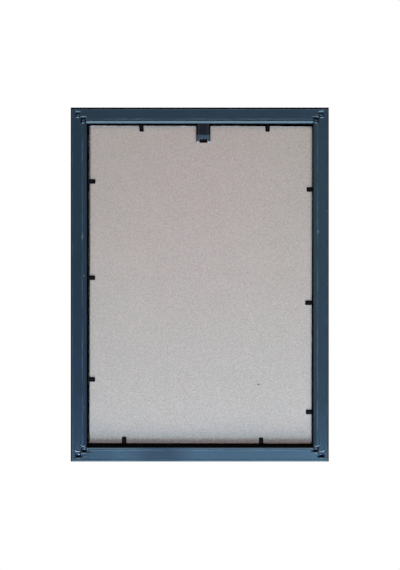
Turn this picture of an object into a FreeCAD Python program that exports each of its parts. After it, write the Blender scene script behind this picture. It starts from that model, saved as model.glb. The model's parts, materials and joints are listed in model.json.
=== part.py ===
"""A hanging picture frame of mitred moulding, as a parametric document.

The frame hangs upright: +Z is up, the picture looks along -Y and the wall lies on the +Y side.
The origin is the point where the nail meets the wall: on the plane of the frame's back, at the edge
of the hanger's notch that rests on the nail. Left and right are as seen from the back, so left is +X.
All sizes are in millimetres.

Each rail is drawn in its own frame: x runs along the rail from its middle, y runs from the outer edge
towards the picture, and z runs from the front of the frame to its back.
"""

import FreeCAD
import Part
import math
import os
import re

import Sketcher

SIZES = [
    ("sheet_width", 210, "pane, across"),
    ("sheet_height", 300, "pane, upright"),
    ("rabbet_play", 1.0, "room around the pane on each side"),
    ("board_trim_across", 0.35, "board and picture sheet are cut this much short on the left and the right"),
    ("board_trim_upright", 0.1, "and at the top and the bottom"),
    ("board_shift_right", 1.15, "they lie off centre, to the right"),
    ("board_shift_down", 0.15, "and down"),
    ("rail_depth", 16, "rail from front to back"),
    ("wall_width", 15, "outer edge to the rabbet's wall"),
    ("lip_reach", 5, "lip over the pane's edge"),
    ("lip_depth", 4, "front of the rail to the pane"),
    ("front_slope_width", 6, "sloping front face beside the picture"),
    ("front_slope_drop", 1.8, "how far that face falls back"),
    ("outer_round", 2.0, "radius of the outer front edge"),
    ("back_edge_bevel", 0.6, "bevel on the outer back edge"),
    ("mouth_bevel_width", 2.5, "bevel on the rabbet's mouth, across the rail"),
    ("mouth_bevel_depth", 2.0, "the same bevel, into the rail"),
    ("pane_thickness", 2.0, "glass"),
    ("pane_edge_bevel", 0.3, "ground edge of the glass"),
    ("insert_thickness", 0.3, "picture sheet"),
    ("board_thickness", 3.0, "backing board"),
    ("board_edge_bevel", 0.25, "crushed edge of the board"),
    ("tab_width", 4.1, "flexible tab, across"),
    ("tab_thickness", 0.6, "its metal"),
    ("tab_length", 13, "the whole strip, pressed in end and free end"),
    ("tab_reach", 7.0, "usual length of the free end"),
    ("tab_corner", 0.9, "radius of the free end's corners"),
    ("tab_gap", 0.1, "tab and hanger above the board"),
    ("bend_gap", 0.15, "bend line in front of the rabbet's wall"),
    ("hanger_width", 13.3, "hanger plate, across"),
    ("hanger_thickness", 0.8, "its metal"),
    ("hanger_offset", 3.4, "hanger to the right of the frame's middle"),
    ("hanger_inset", 0.8, "hanger plate below the mouth's bevel"),
    ("hanger_root", 7, "end of the hanger pressed into the rail"),
    ("hanger_flat", 10.1, "flat stretch of the hanger, from the wall"),
    ("hanger_ramp", 5.6, "stretch that slopes down to the board"),
    ("hanger_foot", 0.8, "steep end of the hanger's two legs"),
    ("notch_width", 7.6, "notch between the legs"),
    ("notch_start", 13.9, "wall to the notch's edge that rests on the nail"),
    ("tooth_length", 1.1, "two teeth on that edge"),
    ("tooth_width", 1.3, "each tooth at its root"),
    ("tooth_pitch", 2.8, "distance between the teeth"),
    ("nail_wing", 4.5, "each wing of a corner nail"),
    ("nail_thickness", 0.6, "its metal"),
    ("nail_length", 9, "how deep a corner nail goes in"),
    ("nail_sink", 0.6, "nail below the back face"),
    ("dimple_size", 5.0, "square dimple pressed in around a nail"),
    ("dimple_depth", 1.0, "its depth"),
    ("cut_overrun", 3, "how far cuts run past a face"),
]

# Places of the tabs along each rail, in the rail's own x, as shares of half the rabbet's opening.
TAB_PLACE_SHARES = {
    "top": {"left": 0.521, "right": -0.603},
    "bottom": {"left": -0.672, "right": 0.545},
    "left": {"upper": -0.643, "middle": -0.042, "lower": 0.593},
    "right": {"upper": 0.593, "middle": -0.114, "lower": -0.796},
}

# Each free end's length, as a share of tab_reach. The tabs are pressed in by hand, some deeper than others.
TAB_LENGTH_SHARES = {
    "top": {"left": 0.97, "right": 0.97},
    "bottom": {"left": 1.02, "right": 0.93},
    "left": {"upper": 1.08, "middle": 1.05, "lower": 1.03},
    "right": {"upper": 0.72, "middle": 0.93, "lower": 0.83},
}

# Slant of a free end that lies askew, in degrees.
TAB_SLANTS = {"top": {"left": -5}}

# Distance of the corner nails from the outer edges, as shares of wall_width.
NAIL_PLACE_SHARES = {"outer": 0.453, "inner": 0.79}

# How far the hanger's side flanges and its ramp come down, as shares of the way to the board.
FLANGE_SHARE = 0.55
RAMP_SHARE = 0.5

# Lengths worked out from the sizes above.
HALF_PANE = ("sheet_width / 2", "sheet_height / 2")
HALF_BOARD = ("(sheet_width / 2 - board_trim_across)", "(sheet_height / 2 - board_trim_upright)")
HALF_OPENING_ACROSS = "(sheet_width / 2 + rabbet_play)"
HALF_OPENING_UPRIGHT = "(sheet_height / 2 + rabbet_play)"
HALF_ACROSS = f"({HALF_OPENING_ACROSS} + wall_width)"
HALF_UPRIGHT = f"({HALF_OPENING_UPRIGHT} + wall_width)"
LIP_EDGE = "(wall_width + lip_reach)"
BOARD_BACK = "(lip_depth + pane_thickness + insert_thickness + board_thickness)"
TAB_TOP = f"({BOARD_BACK} + tab_gap + tab_thickness)"
BEND_LINE = "(wall_width + bend_gap)"
HANGER_TOP = "(rail_depth - mouth_bevel_depth - hanger_inset)"
HANGER_UNDER = f"({HANGER_TOP} - hanger_thickness)"
MIDDLE_X = "hanger_offset"
MIDDLE_Z = f"(wall_width + notch_start - {HALF_UPRIGHT})"
BOARD_MIDDLE = (f"{MIDDLE_X} - board_shift_right", f"{MIDDLE_Z} - board_shift_down")

# Two coordinates closer than this are the same.
CLOSENESS = 1e-6

ALIASES = {alias for alias, value, note in SIZES}

doc = FreeCAD.newDocument("picture_frame")
sheet = doc.addObject("Spreadsheet::Sheet", "Sizes")
for row, (alias, value, note) in enumerate(SIZES, start=1):
    sheet.set(f"A{row}", alias)
    sheet.set(f"B{row}", str(value))
    sheet.setAlias(f"B{row}", alias)
    sheet.set(f"C{row}", note)
doc.recompute()

sub_parts = []


def bound(text):
    """The same expression with every size pointing at its cell."""
    return re.sub(r"[a-z_]+", lambda m: "Sizes." + m.group() if m.group() in ALIASES else m.group(), text)


def measure(text):
    """The value of an expression of sizes."""
    return float(sheet.evalExpression(bound(text)))


def plane(body, role):
    """The body's own origin plane of that role."""
    return next(f for f in body.Origin.OriginFeatures if f.Role == role)


def new_body(label):
    body = doc.addObject("PartDesign::Body", label)
    body.Label = label
    sub_parts.append(body)
    return body


def new_sketch(body, name, role, offset="0"):
    """A sketch on one of the body's origin planes, or above it by offset."""
    sketch = body.newObject("Sketcher::SketchObject", f"{body.Name}_{name}")
    sketch.AttachmentSupport = [(plane(body, role), "")]
    sketch.MapMode = "FlatFace"
    sketch.setExpression(".AttachmentOffset.Base.z", bound(offset))
    return sketch


def outline(sketch, points):
    """A closed outline through points, each a pair of expressions that its two dimensions are bound to."""
    places = [FreeCAD.Vector(measure(x), measure(y), 0) for x, y in points]
    first = sketch.GeometryCount
    count = len(points)
    for k in range(count):
        sketch.addGeometry(Part.LineSegment(places[k], places[(k + 1) % count]), False)
    for k in range(count):
        sketch.addConstraint(Sketcher.Constraint("Coincident", first + k, 2, first + (k + 1) % count, 1))
    for k, (x, y) in enumerate(points):
        dimension(sketch, "DistanceX", first + k, x)
        dimension(sketch, "DistanceY", first + k, y)


def dimension(sketch, kind, line, text):
    """Ties one coordinate of a line's start to an expression, or to the sketch's axis where it is 0."""
    if text == "0":
        axis = -2 if kind == "DistanceX" else -1
        sketch.addConstraint(Sketcher.Constraint("PointOnObject", line, 1, axis))
        return
    index = sketch.addConstraint(Sketcher.Constraint(kind, line, 1, measure(text)))
    name = f"{kind}_{line}"
    sketch.renameConstraint(index, name)
    sketch.setExpression(f".Constraints.{name}", bound(text))


def rectangle(sketch, low_x, high_x, low_y, high_y):
    outline(sketch, [(low_x, low_y), (high_x, low_y), (high_x, high_y), (low_x, high_y)])


def pad(body, sketch, length, symmetric=False):
    feature = body.newObject("PartDesign::Pad", sketch.Name + "_pad")
    feature.Profile = sketch
    feature.SideType = "Symmetric" if symmetric else "One side"
    feature.setExpression("Length", bound(length))
    body.Tip = feature
    doc.recompute()
    return feature


def pocket(body, sketch, depth=None):
    """Cuts the sketch down by depth, or right through both ways, and makes sure that it took something away."""
    before = body.Shape.Volume
    feature = body.newObject("PartDesign::Pocket", sketch.Name + "_pocket")
    feature.Profile = sketch
    if depth is None:
        feature.Type = "ThroughAll"
        feature.SideType = "Symmetric"
    else:
        feature.setExpression("Length", bound(depth))
    body.Tip = feature
    doc.recompute()
    if not body.Shape.Volume < before:
        raise RuntimeError(f"{feature.Name} cuts nothing")
    return feature


def near(value, text):
    """Whether a coordinate is where an expression of sizes says."""
    return math.isclose(value, measure(text), abs_tol=CLOSENESS)


def runs_along_z(edge):
    ends = [vertex.Point for vertex in edge.Vertexes]
    return math.dist(ends[0][:2], ends[-1][:2]) < CLOSENESS


def edges_where(shape, test, along_z=False):
    """Names of the shape's edges whose vertices all pass a test, or of those among them that run along z."""
    return [
        f"Edge{k}" for k, edge in enumerate(shape.Edges, start=1)
        if all(test(vertex.Point) for vertex in edge.Vertexes) and (runs_along_z(edge) or not along_z)
    ]


def fillet(body, test, radius, along_z=False):
    base = body.Tip
    feature = body.newObject("PartDesign::Fillet", base.Name + "_fillet")
    feature.Base = (base, edges_where(base.Shape, test, along_z))
    feature.setExpression("Radius", bound(radius))
    body.Tip = feature
    doc.recompute()


def chamfer(body, test, size):
    base = body.Tip
    feature = body.newObject("PartDesign::Chamfer", base.Name + "_chamfer")
    feature.Base = (base, edges_where(base.Shape, test))
    feature.setExpression("Size", bound(size))
    body.Tip = feature
    doc.recompute()


def place(body, x, y, z):
    """Ties a body's place to expressions of sizes."""
    body.setExpression(".Placement.Base.x", bound(x))
    body.setExpression(".Placement.Base.y", bound(y))
    body.setExpression(".Placement.Base.z", bound(z))


class Side:
    """One side of the frame: its rail's own frame in the row, and what it carries."""

    def __init__(self, name, half_length, half_opening, along, inward, x, z):
        self.name = name
        self.half_length = half_length
        self.half_opening = half_opening
        back = FreeCAD.Vector(0, 1, 0)
        self.rotation = FreeCAD.Rotation(FreeCAD.Vector(*along), FreeCAD.Vector(*inward), back, "XYZ")
        self.x = x
        self.z = z

    def put(self, body):
        """Places a body that was drawn in the rail's own frame. The frame's back is at y = 0."""
        body.Placement = FreeCAD.Placement(FreeCAD.Vector(), self.rotation)
        place(body, self.x, "-rail_depth", self.z)


SIDES = [
    Side("top", HALF_ACROSS, HALF_OPENING_ACROSS, (1, 0, 0), (0, 0, -1),
         MIDDLE_X, f"{MIDDLE_Z} + {HALF_UPRIGHT}"),
    Side("bottom", HALF_ACROSS, HALF_OPENING_ACROSS, (-1, 0, 0), (0, 0, 1),
         MIDDLE_X, f"{MIDDLE_Z} - {HALF_UPRIGHT}"),
    Side("left", HALF_UPRIGHT, HALF_OPENING_UPRIGHT, (0, 0, -1), (-1, 0, 0),
         f"{MIDDLE_X} + {HALF_ACROSS}", MIDDLE_Z),
    Side("right", HALF_UPRIGHT, HALF_OPENING_UPRIGHT, (0, 0, 1), (1, 0, 0),
         f"{MIDDLE_X} - {HALF_ACROSS}", MIDDLE_Z),
]


def tab_middle(side, where):
    """Place of a tab's middle along its rail."""
    return f"({TAB_PLACE_SHARES[side.name][where]} * {side.half_opening})"


def tab_free(side, where):
    """Length of a tab's free end."""
    return f"({TAB_LENGTH_SHARES[side.name][where]} * tab_reach)"


def nail_section(end, place_share):
    """Outline of a corner nail: two wings at a right angle, along the outer sides of its dimple.

    end is the expression of the rail's half length, and the nail is drawn about the mitre there.
    """
    low = f"({place_share} * wall_width - dimple_size / 2 + nail_thickness / 2)"
    tip = f"({low} + nail_wing)"
    inner = f"({low} + nail_thickness)"
    return [
        (f"{end} - {low}", low), (f"{end} - {low}", tip), (f"{end} - {inner}", tip),
        (f"{end} - {inner}", inner), (f"{end} - {tip}", inner), (f"{end} - {tip}", low),
    ]


def make_rail(side):
    """A length of L-shaped moulding with mitred ends, dimples and slots for nails, and slots for tabs."""
    body = new_body(f"rail_{side.name}")
    section = new_sketch(body, "section", "YZ_Plane")
    outline(section, [
        ("0", "0"),
        (f"{LIP_EDGE} - front_slope_width", "0"),
        (LIP_EDGE, "front_slope_drop"),
        (LIP_EDGE, "lip_depth"),
        ("wall_width", "lip_depth"),
        ("wall_width", "rail_depth - mouth_bevel_depth"),
        ("wall_width - mouth_bevel_width", "rail_depth"),
        ("back_edge_bevel", "rail_depth"),
        ("0", "rail_depth - back_edge_bevel"),
    ])
    pad(body, section, f"2 * {side.half_length}", symmetric=True)
    fillet(body, lambda p: near(p.y, "0") and near(p.z, "0"), "outer_round")

    mitre = new_sketch(body, "mitre", "XY_Plane")
    past = f"({LIP_EDGE} + cut_overrun)"
    outline(mitre, [
        (f"{side.half_length} + cut_overrun", "-cut_overrun"),
        (f"{side.half_length} + cut_overrun", past),
        (f"{side.half_length} - {past}", past),
    ])
    cuts = [pocket(body, mitre)]

    dimples = new_sketch(body, "dimples", "XY_Plane", "rail_depth")
    for share in NAIL_PLACE_SHARES.values():
        centre = f"{share} * wall_width"
        rectangle(dimples, f"{side.half_length} - {centre} - dimple_size / 2",
                  f"{side.half_length} - {centre} + dimple_size / 2",
                  f"{centre} - dimple_size / 2", f"{centre} + dimple_size / 2")
    cuts.append(pocket(body, dimples, "dimple_depth"))

    nail_slots = new_sketch(body, "nail_slots", "XY_Plane", "rail_depth")
    for share in NAIL_PLACE_SHARES.values():
        outline(nail_slots, nail_section(side.half_length, share))
    cuts.append(pocket(body, nail_slots, "nail_sink + nail_length"))

    mirrored = body.newObject("PartDesign::Mirrored", body.Name + "_other_end")
    mirrored.Originals = cuts
    mirrored.MirrorPlane = (plane(body, "YZ_Plane"), [""])
    body.Tip = mirrored
    doc.recompute()

    tab_slots = new_sketch(body, "tab_slots", "XY_Plane", TAB_TOP)
    for where in TAB_PLACE_SHARES[side.name]:
        middle = tab_middle(side, where)
        rectangle(tab_slots, f"{middle} - tab_width / 2", f"{middle} + tab_width / 2",
                  f"{BEND_LINE} + {tab_free(side, where)} - tab_length", f"{LIP_EDGE} + cut_overrun")
    pocket(body, tab_slots, "tab_thickness")
    if side.name == "top":
        slot = new_sketch(body, "hanger_slot", "XY_Plane", HANGER_TOP)
        rectangle(slot, "-hanger_offset - hanger_width / 2", "-hanger_offset + hanger_width / 2",
                  "wall_width - hanger_root", f"{LIP_EDGE} + cut_overrun")
        pocket(body, slot, "hanger_thickness")
    side.put(body)
    return body


def make_nail(side, corner, which):
    """A driven corner nail, drawn at the +x end of its rail."""
    body = new_body(f"corner_nail_{corner}_{which}")
    section = new_sketch(body, "section", "XY_Plane", "rail_depth - nail_sink - nail_length")
    outline(section, nail_section(side.half_length, NAIL_PLACE_SHARES[which]))
    pad(body, section, "nail_length")
    side.put(body)
    return body


def make_tab(side, where):
    """A flexible tab as its two rigid ends: the root in the rail and the free end, parted at the bend line."""
    middle = tab_middle(side, where)
    free = tab_free(side, where)
    slant = TAB_SLANTS.get(side.name, {}).get(where, 0)
    root = new_body(f"tab_root_{side.name}_{where}")
    strip = new_sketch(root, "strip", "XY_Plane", f"{TAB_TOP} - tab_thickness")
    rectangle(strip, f"{middle} - tab_width / 2", f"{middle} + tab_width / 2",
              f"{BEND_LINE} + {free} - tab_length", BEND_LINE)
    pad(root, strip, "tab_thickness")
    side.put(root)

    tab = new_body(f"tab_{side.name}_{where}")
    lean = f"tan({slant}) * {free}"
    blade = new_sketch(tab, "blade", "XY_Plane", f"{TAB_TOP} - tab_thickness")
    tip = f"{BEND_LINE} + {free}"
    outline(blade, [
        (f"{middle} - tab_width / 2", BEND_LINE),
        (f"{middle} + tab_width / 2", BEND_LINE),
        (f"{middle} + tab_width / 2 + {lean}", tip),
        (f"{middle} - tab_width / 2 + {lean}", tip),
    ])
    pad(tab, blade, "tab_thickness")
    fillet(tab, lambda p: near(p.y, tip), "tab_corner", along_z=True)
    side.put(tab)


def make_hanger(side):
    """A stamped plate: root in the rail, flat with two flanges, ramp with a toothed notch, and two feet."""
    body = new_body("hanger")
    under = f"({BOARD_BACK} + tab_gap)"
    drop = f"({HANGER_UNDER} - {under})"
    ramp_drop = f"({RAMP_SHARE} * {drop})"
    flange_drop = f"({FLANGE_SHARE} * {drop})"
    flat_end = "(wall_width + hanger_flat)"
    ramp_end = "(wall_width + hanger_flat + hanger_ramp)"
    foot_end = "(wall_width + hanger_flat + hanger_ramp + hanger_foot)"
    section = new_sketch(body, "section", "YZ_Plane", "-hanger_offset")
    outline(section, [
        ("wall_width - hanger_root", HANGER_UNDER),
        (flat_end, HANGER_UNDER),
        (ramp_end, f"{HANGER_UNDER} - {ramp_drop}"),
        (foot_end, under),
        (f"{foot_end} + hanger_thickness", under),
        (f"{ramp_end} + hanger_thickness / 2", f"{HANGER_TOP} - {ramp_drop}"),
        (flat_end, HANGER_TOP),
        ("wall_width - hanger_root", HANGER_TOP),
    ])
    pad(body, section, "hanger_width", symmetric=True)

    flanges = new_sketch(body, "flanges", "XY_Plane", f"{HANGER_UNDER} - {flange_drop}")
    outer = "hanger_width / 2"
    inner = "(hanger_width / 2 - hanger_thickness)"
    rectangle(flanges, f"-hanger_offset - {outer}", f"-hanger_offset - {inner}", BEND_LINE, flat_end)
    rectangle(flanges, f"-hanger_offset + {inner}", f"-hanger_offset + {outer}", BEND_LINE, flat_end)
    pad(body, flanges, flange_drop)

    notch = new_sketch(body, "notch", "XY_Plane")
    start = "(wall_width + notch_start)"
    tooth = f"({start} + tooth_length)"
    past = f"({foot_end} + hanger_thickness + cut_overrun)"
    points = [("-hanger_offset - notch_width / 2", past), ("-hanger_offset - notch_width / 2", start)]
    for sign in ("-", "+"):
        centre = f"-hanger_offset {sign} tooth_pitch / 2"
        points += [(f"{centre} - tooth_width / 2", start), (centre, tooth), (f"{centre} + tooth_width / 2", start)]
    points += [("-hanger_offset + notch_width / 2", start), ("-hanger_offset + notch_width / 2", past)]
    outline(notch, points)
    pocket(body, notch)
    side.put(body)
    return body


def make_sheet(label, front, thickness, half_across, half_upright, x, z, bevel=None):
    """A flat rectangular sheet in the rabbet, drawn upright: front is its distance from the rail's front."""
    body = new_body(label)
    face = new_sketch(body, "face", "XZ_Plane")
    rectangle(face, f"-{half_across}", half_across, f"-{half_upright}", half_upright)
    pad(body, face, thickness, symmetric=True)
    if bevel:
        chamfer(body, lambda p: True, bevel)
    place(body, x, f"{front} + {thickness} / 2 - rail_depth", z)
    return body


for side in SIDES:
    make_rail(side)
for side, corner in zip(SIDES, ("top_left", "bottom_right", "bottom_left", "top_right")):
    for which in NAIL_PLACE_SHARES:
        make_nail(side, corner, which)
make_sheet("pane", "lip_depth", "pane_thickness", *HALF_PANE, MIDDLE_X, MIDDLE_Z, "pane_edge_bevel")
make_sheet("picture_sheet", "(lip_depth + pane_thickness)", "insert_thickness", *HALF_BOARD, *BOARD_MIDDLE)
make_sheet("backing_board", f"({BOARD_BACK} - board_thickness)", "board_thickness", *HALF_BOARD, *BOARD_MIDDLE,
           "board_edge_bevel")
for side in SIDES:
    for where in TAB_PLACE_SHARES[side.name]:
        make_tab(side, where)
make_hanger(SIDES[0])

doc.recompute()
for item in doc.Objects:
    if {"Invalid", "Error"} & set(item.State):
        raise RuntimeError(f"{item.Name} failed: {item.State}")
for piece in sub_parts:
    if piece.Shape.isNull() or not piece.Shape.isValid():
        raise RuntimeError(f"{piece.Label} has no valid shape")

os.makedirs("parts", exist_ok=True)
for piece in sub_parts:
    piece.Shape.exportStep(f"parts/{piece.Label}.step")
    solids = len(piece.Shape.Solids)
    print(f"{piece.Label}: {solids} solid, {piece.Shape.Volume:.1f} cubic mm")
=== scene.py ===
"""Looks of a picture frame seen from its back: mitred moulding, board, flexible tabs, nails and hanger.

Everything is in metres and in the frame of the solids: +Z is up, +Y points out of the frame's back, and
left, as seen from the back, is +X. Each rail has its own frame too: x runs along the rail from its middle,
y from the outer edge towards the picture, and z from the frame's front to its back.
"""

import json
import math

import bpy
import numpy as np
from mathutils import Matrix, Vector


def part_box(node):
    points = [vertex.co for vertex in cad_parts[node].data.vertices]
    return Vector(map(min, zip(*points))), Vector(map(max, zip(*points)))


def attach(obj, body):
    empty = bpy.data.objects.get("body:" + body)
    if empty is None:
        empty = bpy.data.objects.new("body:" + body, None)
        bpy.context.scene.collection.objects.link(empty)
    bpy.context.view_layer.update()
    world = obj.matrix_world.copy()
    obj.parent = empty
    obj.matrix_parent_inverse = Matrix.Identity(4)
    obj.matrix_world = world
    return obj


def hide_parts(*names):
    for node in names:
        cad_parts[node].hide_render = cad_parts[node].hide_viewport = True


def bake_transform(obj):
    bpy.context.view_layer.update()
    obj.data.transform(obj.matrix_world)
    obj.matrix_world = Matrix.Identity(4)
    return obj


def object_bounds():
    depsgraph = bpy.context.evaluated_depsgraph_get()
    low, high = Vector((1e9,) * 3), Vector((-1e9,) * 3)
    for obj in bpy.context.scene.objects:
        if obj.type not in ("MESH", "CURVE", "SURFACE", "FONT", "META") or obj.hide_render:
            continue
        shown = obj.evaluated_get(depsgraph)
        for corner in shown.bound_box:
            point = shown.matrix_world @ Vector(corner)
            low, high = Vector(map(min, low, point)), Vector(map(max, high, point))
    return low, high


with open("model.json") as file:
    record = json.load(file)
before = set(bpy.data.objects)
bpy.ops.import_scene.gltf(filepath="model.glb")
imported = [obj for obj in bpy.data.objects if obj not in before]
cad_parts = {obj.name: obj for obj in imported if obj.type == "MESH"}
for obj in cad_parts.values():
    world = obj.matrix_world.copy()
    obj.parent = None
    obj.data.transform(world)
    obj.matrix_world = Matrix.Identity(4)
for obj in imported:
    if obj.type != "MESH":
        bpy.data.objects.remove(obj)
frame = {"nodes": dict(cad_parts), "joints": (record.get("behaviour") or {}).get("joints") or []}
cad_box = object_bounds()

MM = 0.001
BACK = np.array((0.0, 1.0, 0.0))

# The moulding's section.
LIP_REACH = 5 * MM
LIP_DEPTH = 4 * MM
FRONT_SLOPE_WIDTH = 6 * MM
FRONT_SLOPE_DROP = 1.8 * MM
MOUTH_BEVEL_WIDTH = 2.5 * MM
MOUTH_BEVEL_DEPTH = 2.0 * MM
OUTER_ROUND = 2.0 * MM
SLOPE_TOP_ROUND = 3 * MM
SLOPE_FOOT_ROUND = 0.5 * MM
BACK_EDGE_BEVEL = 0.9 * MM
BACK_EDGE_ROUND = 0.2 * MM
MOUTH_EDGE_ROUND = 0.15 * MM
SMALL_ROUND = 0.3 * MM

# Low relief along the back of each rail: the flat lies a little below the edges at both sides, and the bead
# and the crest stand on it, each with its place from the outer edge, its half width and its height.
FLAT_DROP = 0.28 * MM
FLAT_STARTS = (0.4 * MM, 1.0 * MM)
FLAT_ENDS_BEFORE_WALL = (2.95 * MM, 2.5 * MM)
BEAD = (10.9 * MM, 0.7 * MM, 0.1 * MM)
CREST = (1.7 * MM, 0.8 * MM, 0.13 * MM)
BACK_FADE = (2.4 * MM, 2.1 * MM)
SWELL_HEIGHT = 0.02 * MM
SWELL_LENGTHS = (61 * MM, 37 * MM, 23 * MM, 11 * MM)
SWELL_SEED = 3
SWELL_FADE = 2 * MM
MITRE_GROOVE_DEPTH = 0.12 * MM
MITRE_GROOVE_WIDTH = 0.1 * MM

# Pale lines painted along the back, painted highlights where the bead, the crest and the bevel's edge catch
# the light: place, half width and how strongly.
HIGHLIGHT_LINES = [(10.9 * MM, 0.45 * MM, 1.0), (12.9 * MM, 0.3 * MM, 0.5), (1.8 * MM, 0.35 * MM, 0.55)]

# The rabbet's wall around a tab or the hanger: it is sunk at the metal and lifted in a lip just past it.
WALL_SINK = 1.2 * MM
WALL_SINK_FADE = (0.15 * MM, 0.32 * MM)
WALL_LIP = 0.1 * MM
WALL_LIP_PLACE = 0.5 * MM
WALL_LIP_WIDTH = 0.18 * MM
WALL_TOLERANCE = 0.01 * MM
WALL_TOP = 1.9 * MM
HANGER_THICKNESS = 0.8 * MM

# How closely a rail is sampled along its length.
DENSE_END = 8 * MM
DENSE_END_POINTS = 56
STRIP_MARGIN = 1.1 * MM
STRIP_STEP = 0.3 * MM
STRIP_FEWEST_POINTS = 24
WIDEST_STEP = 6 * MM

# The corner nails and the dimples around them, measured from a dimple's middle. There a runs level and b
# upright, both away from the corner.
NAIL_PLACE_SHARES = {"outer": 0.453, "inner": 0.79}
NAIL_THICKNESS = 0.6 * MM
NAIL_LINE = 1.9 * MM
NAIL_TIP = 2.3 * MM
NAIL_DROP = 1.5 * MM
NAIL_BEND = 0.45 * MM
NAIL_INNER_BEND = 0.1 * MM
NAIL_EDGE_ROUND = 0.12 * MM
NAIL_MIDDLE = 0.4 * MM
DIMPLE_RADIUS = 2.7 * MM
DIMPLE_PINCH = 0.16
DIMPLE_DEPTH = 0.95 * MM
DIMPLE_SPAN = 9 * MM
BOWL_SIDE = (0.6, 1.04)
RIM_HEIGHT = 0.2 * MM
RIM_PLACE = 1.22
RIM_WIDTH = 0.14
SLIT_TIP = 2.7 * MM
LEVEL_SLIT = (1.05 * MM, 1.2 * MM)
UPRIGHT_SLIT = (0.5 * MM, 0.9 * MM)
BURR_HEIGHT = 0.42 * MM
HIGHEST_BURR = 0.36 * MM
# Slits deeper than this wear the black plastic: painted shade.
SHADED_SLIT_DEPTH = 1.1 * MM

# Ridges in and around a dimple: place along a and b, turn in degrees, length, half width and height. The
# lump stands between the wings, and the two long ones are plastic pushed up beside the dimple.
LUMP = (0.3 * MM, 0.1 * MM, 10, 1.2 * MM, 0.75 * MM, 0.6 * MM)
PUSHED_RIDGES = [
    (0, 2.75 * MM, 0, 2.1 * MM, 0.4 * MM, 0.25 * MM),
    (0, -3.25 * MM, 0, 2.5 * MM, 0.5 * MM, 0.38 * MM),
]

# Burrs at the tips of the upright and the level wing, each with a scratch beside it: place along a and b,
# and length. They share the other measures.
BURRS = [(-2.4 * MM, 3.6 * MM, 1.3 * MM), (4.1 * MM, -2.0 * MM, 0.7 * MM)]
BURR_TURN = 135
BURR_WIDTH = 0.42 * MM
SCRATCH_DEPTH = 0.3 * MM
SCRATCH_AWAY = (-0.5 * MM, -0.6 * MM)
SCRATCH_LENGTH_SHARE = 0.8
SCRATCH_WIDTH = 0.3 * MM


# Shapes on grids


def smooth_step(low, high, value):
    """0 below low, 1 above high, and the cubic 3t^2 - 2t^3 between."""
    t = np.clip((value - low) / (high - low), 0, 1)
    return t * t * (3 - 2 * t)


def waves(position, wavelengths, seed):
    """A sum of sines over position, one for each wavelength, with seeded phases, from about -1 to 1."""
    phases = np.random.default_rng(seed).uniform(0, 2 * math.pi, len(wavelengths))
    total = sum(np.sin(2 * math.pi * position / w + p) for w, p in zip(wavelengths, phases))
    return total / math.sqrt(len(wavelengths))


def grid_quads(rows, columns, around=False):
    """Corners of the quads of a grid of points, row by row. around joins the last column to the first."""
    i, j = np.meshgrid(np.arange(rows - 1), np.arange(columns if around else columns - 1), indexing="ij")
    i, j = i.ravel(), j.ravel()
    after = (j + 1) % columns
    here, below = i * columns, (i + 1) * columns
    return np.stack([here + j, below + j, below + after, here + after], axis=1)


def facing_out(points, quads):
    """The quads, turned round where the surface's signed volume about its middle is negative."""
    a, b, c, d = (points[quads[:, k]] - points.mean(axis=0) for k in range(4))
    volume = np.sum(a * np.cross(b, c)) + np.sum(a * np.cross(c, d))
    return quads if volume > 0 else quads[:, ::-1]


def make_mesh(name, points, quads, caps=(), uv=None):
    """A smooth mesh from arrays. A cap is a flat face over a ring of points. uv holds a pair per corner."""
    mesh = bpy.data.meshes.new(name)
    mesh.from_pydata(points.tolist(), [], quads.tolist() + [list(cap) for cap in caps])
    smooth = np.ones(len(mesh.polygons), bool)
    smooth[len(quads):] = False
    mesh.polygons.foreach_set("use_smooth", smooth)
    if uv is not None:
        layer = mesh.uv_layers.new(name="run")
        corners = np.zeros((len(mesh.loops), 2))
        corners[:len(uv)] = uv
        layer.data.foreach_set("uv", corners.ravel())
    mesh.update()
    piece = bpy.data.objects.new(name, mesh)
    bpy.context.scene.collection.objects.link(piece)
    return piece


def closed_sweep(name, rings, uv_rows=None, uv_columns=None, second=None):
    """A tube through rings of points, an array of rows x columns x 3, with a flat cap on each end.

    uv_rows gives each point's distance along the tube, and uv_columns the distance round it at each column,
    with one more value for the way back to the first. second marks the quads that wear the second material.
    """
    rows, columns, _ = rings.shape
    points = rings.reshape(-1, 3)
    plain = grid_quads(rows, columns, around=True)
    quads = facing_out(points, plain)
    turned = quads is not plain
    uv = None
    if uv_rows is not None:
        i, j = np.meshgrid(np.arange(rows - 1), np.arange(columns), indexing="ij")
        i, j = i.ravel(), j.ravel()
        corners = [(i, j), (i + 1, j), (i + 1, j + 1), (i, j + 1)]
        wrapped = [np.stack([uv_rows[a, b % columns], uv_columns[b]], axis=1) for a, b in corners]
        uv = np.stack(wrapped[::-1] if turned else wrapped, axis=1).reshape(-1, 2)
    first = np.arange(columns)
    last = first + (rows - 1) * columns
    caps = (first[::-1], last) if turned else (first, last[::-1])
    piece = make_mesh(name, points, quads, caps, uv)
    if second is not None:
        second_material_index = np.zeros(len(piece.data.polygons), int)
        second_material_index[:len(quads)] = second.ravel()
        piece.data.polygons.foreach_set("material_index", second_material_index)
    return piece


def mark_points(piece, name, values):
    """Stores one number per point for a material to read."""
    layer = piece.data.attributes.new(name, "FLOAT", "POINT")
    layer.data.foreach_set("value", values.ravel())


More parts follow.
